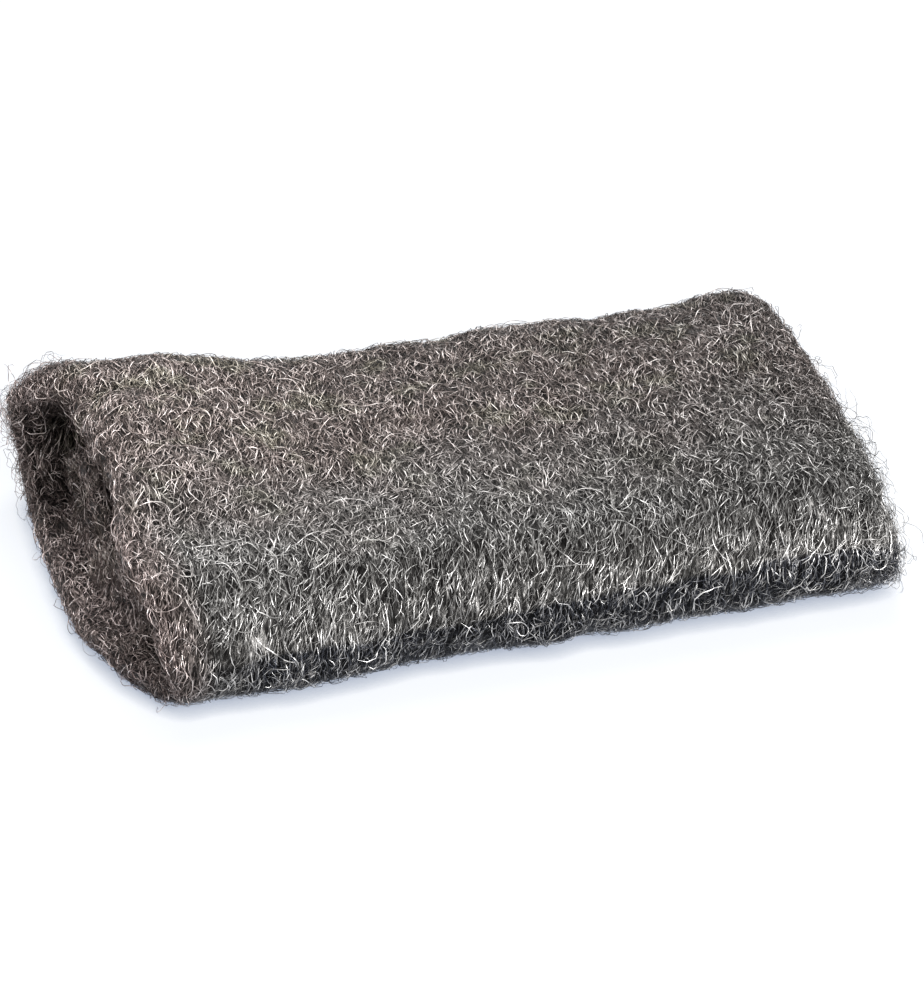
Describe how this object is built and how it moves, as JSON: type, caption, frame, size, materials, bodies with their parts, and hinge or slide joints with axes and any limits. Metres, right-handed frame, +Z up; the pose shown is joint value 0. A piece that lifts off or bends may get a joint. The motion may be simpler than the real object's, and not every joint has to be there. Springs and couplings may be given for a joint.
{
  "type": "steel wool pad",
  "caption": "Hand pad of steel wool: a ribbon of matted steel fibre wound flat on itself, with an open loop at one end.",
  "frame": {"origin": "middle of the pad's box, on the surface that it lies on", "axes": "+X along the folds, away from the open mouth at the loose end; +Y from the front fold to the back loop; +Z up"},
  "size_m": [0.1262, 0.0826, 0.0266],
  "materials": {
    "steel_wool": "matted fine steel fibre, dull grey with bright glints"
  },
  "bodies": {
    "root": {"steel_wool_pad": "steel_wool"}
  },
  "joints": []
}
